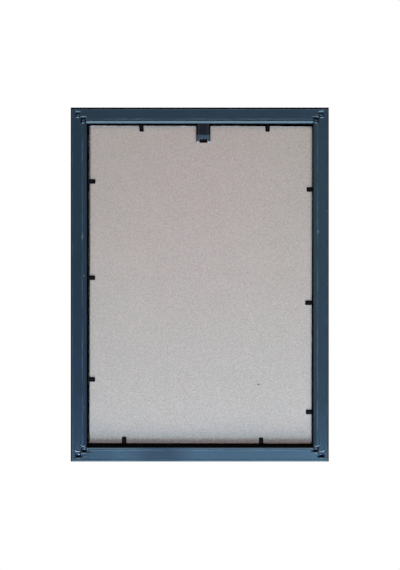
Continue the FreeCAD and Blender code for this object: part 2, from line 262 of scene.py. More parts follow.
def rounded_outline(corners):
    """A closed outline of straight runs joined by arcs.

    Each corner is (across, up, radius, step): its point, its arc's radius and the spacing of points on the
    run that follows it. The arc touches both runs, so it starts radius * tan(turn / 2) from the corner.
    """
    places = np.array([corner[:2] for corner in corners])
    count = len(places)
    arcs = []
    for k, (across, up, radius, step) in enumerate(corners):
        before = places[k] - places[k - 1]
        after = places[(k + 1) % count] - places[k]
        before, after = before / np.linalg.norm(before), after / np.linalg.norm(after)
        turn = math.atan2(before[0] * after[1] - before[1] * after[0], before @ after)
        reach = radius * math.tan(abs(turn) / 2)
        side = np.array((-before[1], before[0])) * math.copysign(1, turn)
        centre = places[k] - before * reach + side * radius
        angles = np.linspace(0, turn, max(3, math.ceil(abs(turn) / math.radians(15)) + 1))
        spoke = -side * radius
        arcs.append(np.stack([
            centre[0] + spoke[0] * np.cos(angles) - spoke[1] * np.sin(angles),
            centre[1] + spoke[0] * np.sin(angles) + spoke[1] * np.cos(angles),
        ], axis=1))
    outline = []
    for k in range(count):
        start, end = arcs[k][-1], arcs[(k + 1) % count][0]
        pieces = max(1, round(np.linalg.norm(end - start) / corners[k][3]))
        share = np.arange(1, pieces)[:, None] / pieces
        outline += [arcs[k], start + share * (end - start)]
    return np.concatenate(outline)


# The four sides


class Side:
    """One side of the frame, placed by its rail's box."""

    def __init__(self, name, along, inward, corners):
        self.name = name
        self.along = np.array(along, float)
        self.inward = np.array(inward, float)
        self.corners = corners
        low, high = (np.array(corner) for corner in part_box(f"rail_{name}"))
        size = high - low
        self.half_length = abs(self.along @ size) / 2
        self.reach = abs(self.inward @ size)
        self.depth = size[1]
        self.start = (low + high) / 2 - self.inward * self.reach / 2
        self.start[1] = low[1]
        self.wall = self.reach - LIP_REACH

    def world(self, x, y, z):
        """Points of the rail's own frame in the frame of the solids."""
        x, y, z = np.broadcast_arrays(x, y, z)
        return self.start + x[..., None] * self.along + y[..., None] * self.inward + z[..., None] * BACK

    def local(self, point):
        """A point of the solids' frame in the rail's own frame."""
        offset = np.array(point) - self.start
        return np.array((offset @ self.along, offset @ self.inward, offset @ BACK))

    def local_box(self, node):
        """Lowest and highest corner of a node in the rail's own frame."""
        ends = [self.local(corner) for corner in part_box(node)]
        return np.minimum(*ends), np.maximum(*ends)


SIDES = {
    "top": Side("top", (1, 0, 0), (0, 0, -1), ("top_right", "top_left")),
    "bottom": Side("bottom", (-1, 0, 0), (0, 0, 1), ("bottom_left", "bottom_right")),
    "left": Side("left", (0, 0, -1), (-1, 0, 0), ("top_left", "bottom_left")),
    "right": Side("right", (0, 0, 1), (1, 0, 0), ("bottom_right", "top_right")),
}
TABS = {
    side: [n.split("_")[2] for n in frame["nodes"] if n.startswith(f"tab_{side}_")]
    for side in SIDES
}

# How each dimple came out: shift across and upright in mm, turn in degrees, size, burr at its upright
# wing's tip, burr at its level wing's tip, lump between the wings, and how open the two wings' slits are.
DIMPLES = {
    ("top_left", "outer"): (-0.2, -0.1, 2, 0.94, 0.3, 0.4, 0.9, 0.3, 0.35),
    ("top_left", "inner"): (-0.2, -0.1, -3, 1.0, 0.5, 0.4, 0.6, 0.7, 0.6),
    ("top_right", "outer"): (0.1, -0.2, 6, 0.96, 0.4, 0.5, 1.2, 0.3, 0.3),
    ("top_right", "inner"): (0.1, -0.2, -5, 0.98, 0.5, 0.4, 0.9, 0.7, 0.7),
    ("bottom_left", "outer"): (0.4, -0.1, 1, 1.02, 1.0, 0.9, 1.0, 0.25, 1.0),
    ("bottom_left", "inner"): (0.4, -0.2, -2, 1.02, 0.9, 0.5, 0.9, 0.9, 1.0),
    ("bottom_right", "outer"): (0.1, 0.0, -2, 1.0, 1.05, 1.0, 1.2, 0.3, 1.0),
    ("bottom_right", "inner"): (0.2, 0.0, 4, 1.0, 1.05, 0.9, 1.3, 0.8, 1.0),
}


def dimple_frame(across, upright, corner, which):
    """Coordinates about a dimple's middle, turned back by its turn and divided by its size."""
    shift_across, shift_upright, turn, size, *_ = DIMPLES[corner, which]
    centre = NAIL_PLACE_SHARES[which] * SIDES["top"].wall
    a = across - centre - shift_across * MM
    b = upright - centre - shift_upright * MM
    angle = math.radians(turn)
    along = a * math.cos(angle) + b * math.sin(angle)
    away = b * math.cos(angle) - a * math.sin(angle)
    return along / size, away / size


def rise(y, centre, half):
    """A rounded bead's height, from 1 at its centre to 0 at half its width: cos^2 of a quarter turn."""
    return np.cos(np.clip((y - centre) / half, -1, 1) * math.pi / 2) ** 2


def ridge(a, b, centre_a, centre_b, turn, length, width, height):
    """A long bump about a turned centre: height times exp(-(along / length)^2 - (across / width)^2)."""
    angle = math.radians(turn)
    along = (a - centre_a) * math.cos(angle) + (b - centre_b) * math.sin(angle)
    across = (b - centre_b) * math.cos(angle) - (a - centre_a) * math.sin(angle)
    return height * np.exp(-(along / length) ** 2 - (across / width) ** 2)


def trench(a, b, width, depth):
    """The slit over a nail's wing, along a at b = -NAIL_LINE: depth times exp(-(distance / width)^3)."""
    middle, half = (SLIT_TIP - NAIL_LINE) / 2, (SLIT_TIP + NAIL_LINE) / 2
    away = np.hypot(b + NAIL_LINE, np.maximum(np.abs(a - middle) - half, 0))
    return depth * np.exp(-(away / width) ** 3)


def dimple_depth(across, upright, corner, which):
    """How far a dimple and its nail's slits go below the rail's back, or above it where that is negative.

    The bowl's reach is R (1 - pinch cos 4 angle), so its sides are drawn in and its corners reach out. Its
    depth falls from the middle to that reach by a smooth step, and a rim exp(-x^2) stands round it. The
    slits are trenches along the nail's two wings. The lump, the pushed ridges and a burr at each wing's tip
    rise from that, and a scratch is cut beside each burr.
    """
    a, b = dimple_frame(across, upright, corner, which)
    *_, burr_upright, burr_level, lump, upright_slit, level_slit = DIMPLES[corner, which]
    q = np.hypot(a, b) / (DIMPLE_RADIUS * (1 - DIMPLE_PINCH * np.cos(4 * np.arctan2(b, a))))
    depth = DIMPLE_DEPTH * (1 - smooth_step(*BOWL_SIDE, q))
    depth -= RIM_HEIGHT * np.exp(-((q - RIM_PLACE) / RIM_WIDTH) ** 2)
    depth -= lump * ridge(a, b, *LUMP)
    for pushed in PUSHED_RIDGES:
        depth -= ridge(a, b, *pushed)
    level = level_slit * trench(a, b, *LEVEL_SLIT)
    depth += np.maximum(level, upright_slit * trench(b, a, *UPRIGHT_SLIT))
    for burr, (at_a, at_b, length) in zip((burr_upright, burr_level), BURRS):
        depth -= burr * ridge(a, b, at_a, at_b, BURR_TURN, length, BURR_WIDTH, BURR_HEIGHT)
        beside = (at_a + SCRATCH_AWAY[0], at_b + SCRATCH_AWAY[1], BURR_TURN)
        scratch = (*beside, SCRATCH_LENGTH_SHARE * length, SCRATCH_WIDTH, SCRATCH_DEPTH)
        depth += burr * ridge(a, b, *scratch)
    return depth


def wall_nodes(side):
    """Nodes that enter the rabbet's wall on a side."""
    nodes = [f"tab_root_{side.name}_{where}" for where in TABS[side.name]]
    return nodes + ["hanger"] if side.name == "top" else nodes


def along_samples(side):
    """Places along a rail, from -1 to 1, close together at the dimples and at what enters its wall."""
    ends = 1 - np.linspace(0, DENSE_END, DENSE_END_POINTS) / side.half_length
    clusters = [ends, -ends]
    opening = side.half_length - side.wall
    for node in wall_nodes(side):
        low, high = side.local_box(node)
        low, high = low[0] - STRIP_MARGIN, high[0] + STRIP_MARGIN
        count = max(STRIP_FEWEST_POINTS, round((high - low) / STRIP_STEP))
        clusters.append(np.linspace(low, high, count) / opening)
    marks = np.sort(np.concatenate(clusters))
    filled = [marks[:1]]
    for before, after in zip(marks[:-1], marks[1:]):
        pieces = max(1, math.ceil((after - before) / (WIDEST_STEP / side.half_length)))
        filled.append(before + (after - before) * np.arange(1, pieces + 1) / pieces)
    return np.concatenate(filled)


def rail_section(side):
    """The moulding's outline across a rail, as (y, z): wall, bevels, back, outer side, front and lip."""
    depth, wall, reach = side.depth, side.wall, side.reach
    return rounded_outline([
        (wall, LIP_DEPTH, SMALL_ROUND, 0.22 * MM),
        (wall, depth - MOUTH_BEVEL_DEPTH, SMALL_ROUND, 0.25 * MM),
        (wall - MOUTH_BEVEL_WIDTH, depth, MOUTH_EDGE_ROUND, 0.18 * MM),
        (BACK_EDGE_BEVEL, depth, BACK_EDGE_ROUND, 0.2 * MM),
        (0, depth - BACK_EDGE_BEVEL, BACK_EDGE_ROUND, 2 * MM),
        (0, 0, OUTER_ROUND, 2 * MM),
        (reach - FRONT_SLOPE_WIDTH, 0, SLOPE_TOP_ROUND, 1.5 * MM),
        (reach, FRONT_SLOPE_DROP, SLOPE_FOOT_ROUND, 0.6 * MM),
        (reach, LIP_DEPTH, SMALL_ROUND, 1.2 * MM),
    ])


def back_relief(side, x, y):
    """How far the back's relief moves it: down to the flat, up on the bead and crest, and slow swells."""
    flat_end, wall_start = (side.wall - before for before in FLAT_ENDS_BEFORE_WALL)
    flat = smooth_step(*FLAT_STARTS, y) * (1 - smooth_step(flat_end, wall_start, y))
    beads = sum(height * rise(y, centre, half) for centre, half, height in (BEAD, CREST))
    swells = SWELL_HEIGHT * waves(x, SWELL_LENGTHS, SWELL_SEED) * smooth_step(0, SWELL_FADE, y)
    return beads - FLAT_DROP * flat + swells


def press_dimples(side, x, y, z, on_back):
    """Presses each corner's dimples into z, and gives how deep and how high the plastic was pushed.

    Inside a dimple the back is the lower of its own height and the dimple's, and outside it rises by the
    dimple's rim and burrs, up to the highest burr.
    """
    to_end = side.half_length - np.abs(x)
    hollow, pushed = np.zeros(x.shape), np.zeros(x.shape)
    for end, corner in zip((-1, 1), side.corners):
        near = (x * end > 0) & (to_end < y + DIMPLE_SPAN) & (on_back > 0)
        own, other = y[near], to_end[near]
        across, upright = (other, own) if side.name in ("top", "bottom") else (own, other)
        for which in NAIL_PLACE_SHARES:
            pressed = dimple_depth(across, upright, corner, which)
            sunk = np.minimum(z[near], side.depth - FLAT_DROP - pressed)
            raised = np.minimum(z[near] - pressed, side.depth + HIGHEST_BURR)
            z[near] = np.where(pressed > 0, sunk, raised)
            hollow[near] = np.maximum(hollow[near], pressed / MM)
            pushed[near] = np.maximum(pushed[near], -pressed / BURR_HEIGHT)
    z -= on_back * MITRE_GROOVE_DEPTH * np.exp(-(to_end - y) / MITRE_GROOVE_WIDTH)
    return hollow, pushed


def wall_relief(side, x, y, z):
    """How far the rabbet's wall moves: sunk where a strip enters it, with a lip exp(-x^2) past its edge."""
    on_wall = (np.abs(y - side.wall) < WALL_TOLERANCE) & (z > LIP_DEPTH) & (z < side.depth - WALL_TOP)
    moved = np.zeros(x.shape)
    for node in wall_nodes(side):
        low, high = side.local_box(node)
        centre, half = (low + high) / 2, (high - low) / 2
        if node == "hanger":
            half[2] = HANGER_THICKNESS / 2
            centre[2] = high[2] - half[2]
        out_x = np.maximum(np.abs(x - centre[0]) - half[0], 0)
        out_z = np.maximum(np.abs(z - centre[2]) - half[2], 0)
        gap = np.hypot(out_x, out_z)
        sunk = WALL_SINK * (1 - smooth_step(*WALL_SINK_FADE, gap))
        lifted = WALL_LIP * np.exp(-((gap - WALL_LIP_PLACE) / WALL_LIP_WIDTH) ** 2)
        moved += np.where(on_wall, lifted - sunk, 0)
    return moved


def make_rail(side):
    """A mitred rail: its section carried along x and cut back by y at both ends, then pressed, with faces
    picked for the black plastic and its painted shade.

    A point at share s of the length and at (y, z) of the section lies at x = s (half length - y). It then
    moves by the back's relief, the dimples and the wall's relief.
    """
    section = rail_section(side)
    x = along_samples(side)[:, None] * (side.half_length - section[:, 0])
    y, z = (np.broadcast_to(part, x.shape).copy() for part in section.T)
    on_back = smooth_step(*(side.depth - below for below in BACK_FADE), z) * (y < side.wall)
    z += on_back * back_relief(side, x, y)
    hollow, pushed = press_dimples(side, x, y, z, on_back)
    y += wall_relief(side, x, y, z)

    rings = side.world(x, y, z)
    steps = np.linalg.norm(np.diff(section, axis=0, append=section[:1]), axis=1)
    girth = np.concatenate([[0], np.cumsum(steps)])
    rail = closed_sweep(f"moulding_{side.name}", rings, x, girth, black_plastic_faces(side, section, hollow))
    # How deep and how high each point was pressed, which the slate paints as shade in the deep slits and
    # highlights on the burrs.
    mark_points(rail, "hollow", np.clip(hollow, 0, 1.5))
    mark_points(rail, "pushed", np.clip(pushed, 0, 1))
    across, up = section.T
    # Painted highlights: pale lines along the rail's back at the bead, the crest and the bevel's edge.
    lines = sum(share * np.exp(-((across - centre) / half) ** 2) for centre, half, share in HIGHLIGHT_LINES)
    mark_points(rail, "rubbed", np.broadcast_to(lines * (up > side.depth - 0.2 * MM), x.shape))
    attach(rail, "frame")
    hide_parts(f"rail_{side.name}")
    return rail


# Painted shade: how far the black plastic reaches back from each rail's wall over its bevel and from its
# outer edge, where those faces turn from the light, and a thin dark line of it above the top rail's bevel,
# measured from the wall.
SHADED_EDGES = {
    "top": (0.45 * MM, 1.6 * MM), "bottom": (1.8 * MM, 0.0), "left": (0.3 * MM, 0.95 * MM),
    "right": (0.8 * MM, 0.95 * MM),
}
SHADED_LINE = (2.9 * MM, 2.2 * MM)


def black_plastic_faces(side, section, hollow):
    """Faces that wear the black plastic: inside the rabbet, and as painted shade at the bottom of the slits
    and on the shaded edges and bevels.
    """
    y, z = section.T
    from_wall, from_edge = SHADED_EDGES[side.name]
    bare_and_painted = (y > side.wall - 0.1 * MM) & (z > LIP_DEPTH - 0.1 * MM)
    bare_and_painted |= (y > side.wall - from_wall) & (z > LIP_DEPTH)
    bare_and_painted |= (y < from_edge) & (z > side.depth - 1.2 * BACK_EDGE_BEVEL)
    if side.name == "top":
        bare_and_painted |= (y > side.wall - SHADED_LINE[0]) & (y < side.wall - SHADED_LINE[1]) & (z > LIP_DEPTH)
    columns = bare_and_painted & np.roll(bare_and_painted, -1)
    # Faces at the bottom of slits deeper than that also wear it, as painted shade.
    after = np.roll(hollow, -1, axis=1)
    lowest = np.minimum(np.minimum(hollow[:-1], hollow[1:]), np.minimum(after[:-1], after[1:]))
    return columns | (lowest > SHADED_SLIT_DEPTH / MM)


# Corner nails


# How a nail's top edge is eased: depths below its top, and how far it is drawn in there.
NAIL_EASING = [
    (0.0, 0.16 * MM), (0.03 * MM, 0.08 * MM), (0.1 * MM, 0.03 * MM), (0.2 * MM, 0.0), (1.0 * MM, 0.0),
    (4.0 * MM, 0.0),
]


def make_nail(corner, which):
    """A bent steel strip on edge: an L with a rounded bend, carried down into the rail.

    Each ring is the L drawn in towards its middle by the easing at that depth, and turned as its dimple is.
    """
    side = next(s for s in SIDES.values() if corner in s.corners and s.name in ("top", "bottom"))
    end = 1 if side.corners[1] == corner else -1
    outside, inside = -NAIL_LINE - NAIL_THICKNESS / 2, -NAIL_LINE + NAIL_THICKNESS / 2
    outline = rounded_outline([
        (outside, outside, NAIL_BEND, 0.5 * MM),
        (NAIL_TIP, outside, NAIL_EDGE_ROUND, 0.3 * MM),
        (NAIL_TIP, inside, NAIL_EDGE_ROUND, 0.5 * MM),
        (inside, inside, NAIL_INNER_BEND, 0.5 * MM),
        (inside, NAIL_TIP, NAIL_EDGE_ROUND, 0.3 * MM),
        (outside, NAIL_TIP, NAIL_EDGE_ROUND, 0.5 * MM),
    ])
    shift_across, shift_upright, turn, size, *_ = DIMPLES[corner, which]
    angle = math.radians(turn)
    flat = outline * size
    toward = flat - NAIL_MIDDLE
    unit = toward / np.linalg.norm(toward, axis=1)[:, None]
    low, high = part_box(f"corner_nail_{corner}_{which}")
    top, bottom = high.y - side.start[1] - NAIL_DROP, low.y - side.start[1]
    centre = NAIL_PLACE_SHARES[which] * side.wall
    rings = []
    for level, ease in NAIL_EASING + [(top - bottom, 0.0)]:
        a, b = (flat - unit * ease).T
        across = centre + shift_across * MM + a * math.cos(angle) - b * math.sin(angle)
        upright = centre + shift_upright * MM + a * math.sin(angle) + b * math.cos(angle)
        rings.append(side.world(end * (side.half_length - across), upright, top - level))
    nail = closed_sweep(f"nail_{corner}_{which}", np.array(rings))
    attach(nail, "frame")
    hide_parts(f"corner_nail_{corner}_{which}")
    return nail


# Flexible tabs


TAB_RIB_WIDTH = 0.55 * MM
TAB_RIB_HEIGHT = 0.09 * MM
TAB_RIB_START = 1 * MM
TAB_RIB_FADE = (1.5 * MM, 0.7 * MM)
TAB_CORNER = 0.9 * MM
TAB_EDGE_ROUND = 0.2 * MM
TAB_LIFT_SPAN = 7 * MM

# The stretch of a tab in which it bends, from before the bend line to past it.
TAB_BEND = (0.3 * MM, 0.8 * MM)

# The painted highlight along a tab's crest: its half width, how far past the bend line it starts, and how
# far before the tip it fades.
TAB_CREST_WIDTH = 0.6 * MM
TAB_CREST_START = 0.6 * MM
TAB_CREST_FADE = (1.8 * MM, 0.9 * MM)

# How far each tab's tip has lifted from the board at the lift's span from its bend line.
TAB_LIFTS = {
    "top_left": 0.25 * MM, "top_right": 0.1 * MM, "bottom_left": 0.35 * MM, "bottom_right": 0.15 * MM,
    "left_upper": 0.1 * MM, "left_middle": 0.2 * MM, "left_lower": 0.3 * MM,
    "right_upper": 0.1 * MM, "right_middle": 0.25 * MM, "right_lower": 0.15 * MM,
}


def quarter_round(to_edge, radius):
    """How far a rounded edge has fallen at a distance from it: r (1 - sqrt(1 - ((r - distance) / r)^2))."""
    into = np.clip((radius - to_edge) / radius, 0, 1)
    return radius * (1 - np.sqrt(np.clip(1 - into ** 2, 0, 1)))


def make_tab(side, where):
    """A flexible tab as one strip, from the end pressed into the rail to its free tip.

    Its section is a thin rounded rectangle with a rib of height exp(-x^4), and its width closes on a
    quarter circle at each corner of the tip. The free end leans sideways in proportion to its distance from
    the bend line, and lifts with the square of it.
    """
    name = f"{side.name}_{where}"
    joint = next(j for j in frame["joints"] if j["name"] == f"bend_{name}")
    bend_x, bend_y, top = side.local(joint["pos_m"])
    root_low, root_high = side.local_box(f"tab_root_{name}")
    free_low, free_high = side.local_box(f"tab_{name}")
    thickness, width = root_high[2] - root_low[2], root_high[0] - root_low[0]
    tip = free_high[1]
    lean = ((free_low[0] + free_high[0]) / 2 - bend_x) * 2 / (tip - bend_y)

    stations = np.concatenate([
        np.linspace(root_low[1], bend_y - 0.5 * MM, 8),
        np.linspace(bend_y - 0.4 * MM, bend_y + 1.0 * MM, 15),
        np.linspace(bend_y + 1.2 * MM, tip - TAB_CORNER, 8),
        tip - TAB_CORNER * (1 - np.sin(np.linspace(0.12, 0.5, 10) * math.pi)),
    ])[:, None]
    half = width / 2 - quarter_round(tip - stations, TAB_CORNER)
    u, v = rounded_outline([
        (-1, -0.5, 0.001, 0.5), (1, -0.5, 0.001, 0.5), (1, 0.5, 0.001, 0.12), (-1, 0.5, 0.001, 0.5),
    ]).T
    across = u * half
    fallen = np.maximum(
        quarter_round(half - np.abs(across), TAB_EDGE_ROUND), quarter_round(tip - stations, TAB_EDGE_ROUND))
    on_top = v > 0.49
    rib = TAB_RIB_HEIGHT * np.exp(-(across / TAB_RIB_WIDTH) ** 4) * on_top
    rib = rib * smooth_step(bend_y - TAB_RIB_START, bend_y, stations)
    rib = rib * (1 - smooth_step(*(tip - before for before in TAB_RIB_FADE), stations))
    free = np.maximum(stations - bend_y, 0)
    x = bend_x + across + lean * free
    y = np.broadcast_to(stations, x.shape)
    z = top - thickness / 2 + 2 * v * (thickness / 2 - fallen)
    z = z + rib - TAB_RIB_HEIGHT * 0.5 + TAB_LIFTS[name] * (free / TAB_LIFT_SPAN) ** 2
    strip = closed_sweep(f"flexible_tab_{name}", side.world(x, y, z))

    # A painted highlight along the rib's crest, faded at both ends.
    crest = np.exp(-(across / TAB_CREST_WIDTH) ** 2) * on_top
    crest = crest * smooth_step(bend_y, bend_y + TAB_CREST_START, stations)
    faded = smooth_step(*(tip - before for before in TAB_CREST_FADE), stations)
    mark_points(strip, "rubbed", crest * (1 - faded))
    start = Vector(side.world(bend_x, bend_y - TAB_BEND[0], top))
    end = Vector(side.world(bend_x, bend_y + TAB_BEND[1], top))
    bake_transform(strip)
    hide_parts(f"tab_root_{name}", f"tab_{name}")
    return strip


# Hanger


# Lengths along the hanger, the first and the last from the rabbet's wall.
HANGER_FLAT = 10.1 * MM
HANGER_RAMP = 5.6 * MM
NOTCH_START = 13.9 * MM

# How far the ramp falls of the way down to the feet, and how far it has gone where the foot turns up.
RAMP_FALL_SHARE = 0.5
FOOT_FALL_SHARE = 0.93

NOTCH_HALF = 3.8 * MM
TOOTH_LENGTH = 1.1 * MM
TOOTH_HALF = 0.65 * MM
TOOTH_PLACE = 1.4 * MM

# The hanger's sides are rolled down along its flat stretch: how wide, how far, and its start and end.
ROLL_WIDTH = 1.15 * MM
ROLL_DROP = 1.5 * MM
ROLL_FACE_WIDTH = 1.05 * MM
ROLL_STARTS = (0.5 * MM, 0.6 * MM)
ROLL_ENDS = (1.2 * MM, 1.0 * MM)
HANGER_EDGE_EASE = 0.16 * MM


def hanger_fall(side, low, high, x, y):
    """How far the hanger has fallen below its top: straight runs along y, and a quarter-round at its sides.

    The quarter-round falls by drop (1 - sqrt(1 - 0.985 s^2)) at share s of the roll's width.
    """
    thickness, end = HANGER_THICKNESS, high[1]
    flat_end = side.wall + HANGER_FLAT
    ramp_end = flat_end + HANGER_RAMP
    drop = high[2] - thickness - low[2]
    ramp_fall = RAMP_FALL_SHARE * drop
    slope = ramp_fall / HANGER_RAMP
    knots = np.array([
        (low[1], 0),
        (flat_end - 0.5 * MM, 0.02 * MM),
        (flat_end + 0.5 * MM, 0.5 * MM * slope),
        (ramp_end - 0.4 * MM, ramp_fall - 0.4 * MM * slope),
        (ramp_end + 0.2 * MM, ramp_fall + 0.18 * MM),
        (end - thickness, FOOT_FALL_SHARE * drop),
        (end, drop),
    ])
    fall = np.interp(y, *knots.T)
    rolled = smooth_step(side.wall - ROLL_STARTS[0], side.wall + ROLL_STARTS[1], y)
    rolled = rolled * (1 - smooth_step(flat_end - ROLL_ENDS[0], flat_end + ROLL_ENDS[1], y))
    half_width = (high[0] - low[0]) / 2
    share = np.clip((np.abs(x) - half_width + ROLL_WIDTH) / ROLL_WIDTH, 0, 1)
    return fall + rolled * ROLL_DROP * (1 - np.sqrt(1 - 0.985 * share ** 2))


def make_hanger():
    """A stamped plate with its sides rolled down, a ramp, two legs with turned-up feet and a toothed notch.

    The plate is a grid without the faces between the legs, and each point lies below the top by its fall.
    The row of points at the notch's edge is moved out under each tooth by a triangle.
    """
    side = SIDES["top"]
    low, high = side.local_box("hanger")
    half_width = (high[0] - low[0]) / 2
    flat_end, notch_edge = side.wall + HANGER_FLAT, side.wall + NOTCH_START
    across = np.unique(np.round(np.concatenate([
        np.linspace(-half_width, -NOTCH_HALF, 12),
        np.linspace(-NOTCH_HALF, NOTCH_HALF, 39),
        np.linspace(NOTCH_HALF, half_width, 12),
    ]), 9))
    along = np.unique(np.round(np.concatenate([
        np.linspace(low[1], flat_end - 0.6 * MM, 22),
        np.linspace(flat_end - 0.6 * MM, notch_edge, 16),
        np.linspace(notch_edge, high[1], 18),
    ]), 9))
    edge_row = int(np.argmin(np.abs(along - notch_edge)))
    y, x = np.meshgrid(along, across, indexing="ij")
    teeth = sum(np.clip(1 - np.abs(x - place) / TOOTH_HALF, 0, 1) for place in (-TOOTH_PLACE, TOOTH_PLACE))
    y = y + np.where(np.arange(len(along))[:, None] == edge_row, TOOTH_LENGTH * teeth, 0)
    fall = hanger_fall(side, low, high, x, y)

    rows, columns = y.shape
    quads = grid_quads(rows, columns)
    face_row, face_column = np.divmod(np.arange(len(quads)), columns - 1)
    centre_x = (across[face_column] + across[face_column + 1]) / 2
    keep = (face_row < edge_row) | (np.abs(centre_x) > NOTCH_HALF)
    points = side.world((low[0] + high[0]) / 2 + x, y, high[2] - fall).reshape(-1, 3)
    used = np.unique(quads[keep])
    order = np.full(len(points), -1)
    order[used] = np.arange(len(used))
    plate = make_mesh("hanger_plate", points[used], order[quads[keep]])
    face_y = along[face_row]
    on_flat = (face_y > side.wall) & (face_y < flat_end)
    # The rolled sides wear the second material, a darker copy of the lacquer that paints shade on them.
    on_roll = on_flat & (np.abs(centre_x) > half_width - ROLL_FACE_WIDTH)
    plate.data.polygons.foreach_set("material_index", on_roll[keep].astype(int))

    thick = plate.modifiers.new("thickness", "SOLIDIFY")
    thick.thickness = HANGER_THICKNESS
    thick.offset = 1 if normal_points_forward(plate) else -1
    eased = plate.modifiers.new("eased_edges", "BEVEL")
    eased.width = HANGER_EDGE_EASE
    eased.segments = 3
    eased.limit_method = "ANGLE"
    eased.angle_limit = math.radians(50)
    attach(plate, "frame")
    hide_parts("hanger")
    return plate


def normal_points_forward(piece):
    """Whether an open sheet's faces look towards the front: the sign of their summed normals along Y."""
    return sum(face.normal.y * face.area for face in piece.data.polygons) < 0


# Backing board


BOARD_CORNER = 0.8 * MM
BOARD_STEP = 1.0 * MM
BOARD_EDGE_ROUND = 0.35 * MM
BOARD_EDGE_STEPS = 5
BOARD_INNER_RING = 4 * MM
BOARD_TRIM = 0.06 * MM
BOARD_WAVE_HEIGHT = 0.05 * MM
BOARD_WAVE_LENGTHS = (17 * MM, 7.3 * MM, 4.1 * MM, 2.7 * MM)
BOARD_WAVE_SEED = 11

# How far the board lies askew in its rabbet, in degrees.
BOARD_TURN = 0.2

# Worn or torn places of the board's edge, from its middle: across and upright, bulge and spread, in mm.
BOARD_SPOTS = [
    (-105, 128, 0.35, 2.2), (-105, -51, 0.3, 3.0), (-105, -62, 0.35, 1.8), (-102, 150, -0.3, 3.0),
    (98, 150, 0.2, 4.0), (88, 150, -0.2, 3.0), (105, 90, 0.15, 3.0), (105, -146, -0.4, 4.0),
    (-105, -146, -0.4, 4.0),
]


def make_board():
    """A fibreboard sheet: its outline, a little ragged, drawn in ring by ring on both faces.

    A point at distance t along the outline moves out by a small sum of waves and a few Gaussian spots. The
    rings follow a quarter round of the edge at each face, and the last one is closed by a flat cap.
    """
    low, high = (np.array(corner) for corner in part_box("backing_board"))
    centre = (low + high) / 2
    half_x, thickness, half_z = (high - low) / (2, 1, 2)
    outline = rounded_outline([
        (across * half_x, up * half_z, BOARD_CORNER, BOARD_STEP)
        for across, up in ((-1, -1), (1, -1), (1, 1), (-1, 1))
    ])
    ahead = np.roll(outline, -1, axis=0) - np.roll(outline, 1, axis=0)
    normal = np.stack([ahead[:, 1], -ahead[:, 0]], axis=1) / np.linalg.norm(ahead, axis=1)[:, None]
    steps = np.linalg.norm(np.diff(outline, axis=0, append=outline[:1]), axis=1)
    distance = np.concatenate([[0], np.cumsum(steps)[:-1]])
    ragged = BOARD_WAVE_HEIGHT * waves(distance, BOARD_WAVE_LENGTHS, BOARD_WAVE_SEED) - BOARD_TRIM
    for place_x, place_z, bulge, width in BOARD_SPOTS:
        away = np.hypot(outline[:, 0] - place_x * MM, outline[:, 1] - place_z * MM)
        ragged += bulge * MM * np.exp(-(away / (width * MM)) ** 2)
    moved = outline + normal * ragged[:, None]

    turns = np.linspace(0, math.pi / 2, BOARD_EDGE_STEPS)
    drawn_in = BOARD_EDGE_ROUND * (1 - np.sin(turns))
    fallen = BOARD_EDGE_ROUND * (1 - np.cos(turns))
    insets = np.concatenate([[BOARD_INNER_RING], drawn_in, drawn_in[::-1], [BOARD_INNER_RING]])
    depths = np.concatenate([[0], fallen, thickness - fallen[::-1], [thickness]])
    tilt = math.radians(BOARD_TURN)
    rings = []
    for inset, depth in zip(insets, depths):
        across, up = (moved * (1 - inset / np.array((half_x, half_z)))).T
        rings.append(np.stack([
            centre[0] + across * math.cos(tilt) - up * math.sin(tilt),
            np.full(len(across), high[1] - depth),
            centre[2] + across * math.sin(tilt) + up * math.cos(tilt),
        ], axis=1))
    board = closed_sweep("fibreboard_back", np.array(rings))
    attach(board, "frame")
    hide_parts("backing_board")
    return board


# Materials


def new_material(name, rough, metal=0.0):
    """A material with a Principled shader, its plain sockets set, and its tree."""
    material = bpy.data.materials.new(name)
    material.use_nodes = True
    tree = material.node_tree
    shader = tree.nodes["Principled BSDF"]
    shader.inputs["Roughness"].default_value = rough
    shader.inputs["Metallic"].default_value = metal
    return material, tree, shader


def node(tree, kind, inputs=(), **settings):
    """A node with its settings and inputs. An input is a value, or an output socket to link."""
    made = tree.nodes.new(kind)
    for key, value in settings.items():
        setattr(made, key, value)
    for key, value in dict(inputs).items():
        if isinstance(value, bpy.types.NodeSocket):
            tree.links.new(value, made.inputs[key])
        else:
            made.inputs[key].default_value = value
    return made


def object_place(tree, scale=(1, 1, 1)):
    """Object coordinates, stretched by scale."""
    place = node(tree, "ShaderNodeTexCoord").outputs["Object"]
    return node(tree, "ShaderNodeMapping", {"Vector": place, "Scale": scale}).outputs["Vector"]


def run_place(tree, along, around):
    """The piece's own UV map, in metres along its run and around its section, stretched by two scales."""
    place = node(tree, "ShaderNodeUVMap", uv_map="run").outputs["UV"]
    return node(tree, "ShaderNodeMapping", {"Vector": place, "Scale": (along, around, 1)}).outputs["Vector"]


def point_mark(tree, name):
    """A number stored on the piece's points."""
    return node(tree, "ShaderNodeAttribute", attribute_name=name).outputs["Fac"]


def noise(tree, place, scale, detail=4.0, roughness=0.55):
    """Fractal noise of about 0 to 1."""
    inputs = {"Vector": place, "Scale": scale, "Detail": detail, "Roughness": roughness}
    return node(tree, "ShaderNodeTexNoise", inputs).outputs["Fac"]


def spread(tree, value, low, high, to_low=0.0, to_high=1.0):
    """Value carried from the range low to high onto to_low to to_high, and held there."""
    inputs = {"Value": value, "From Min": low, "From Max": high, "To Min": to_low, "To Max": to_high}
    return node(tree, "ShaderNodeMapRange", inputs).outputs["Result"]


def maths(tree, operation, first, second):
    """Two values joined by a Math node's operation, such as ADD."""
    return node(tree, "ShaderNodeMath", {0: first, 1: second}, operation=operation).outputs[0]


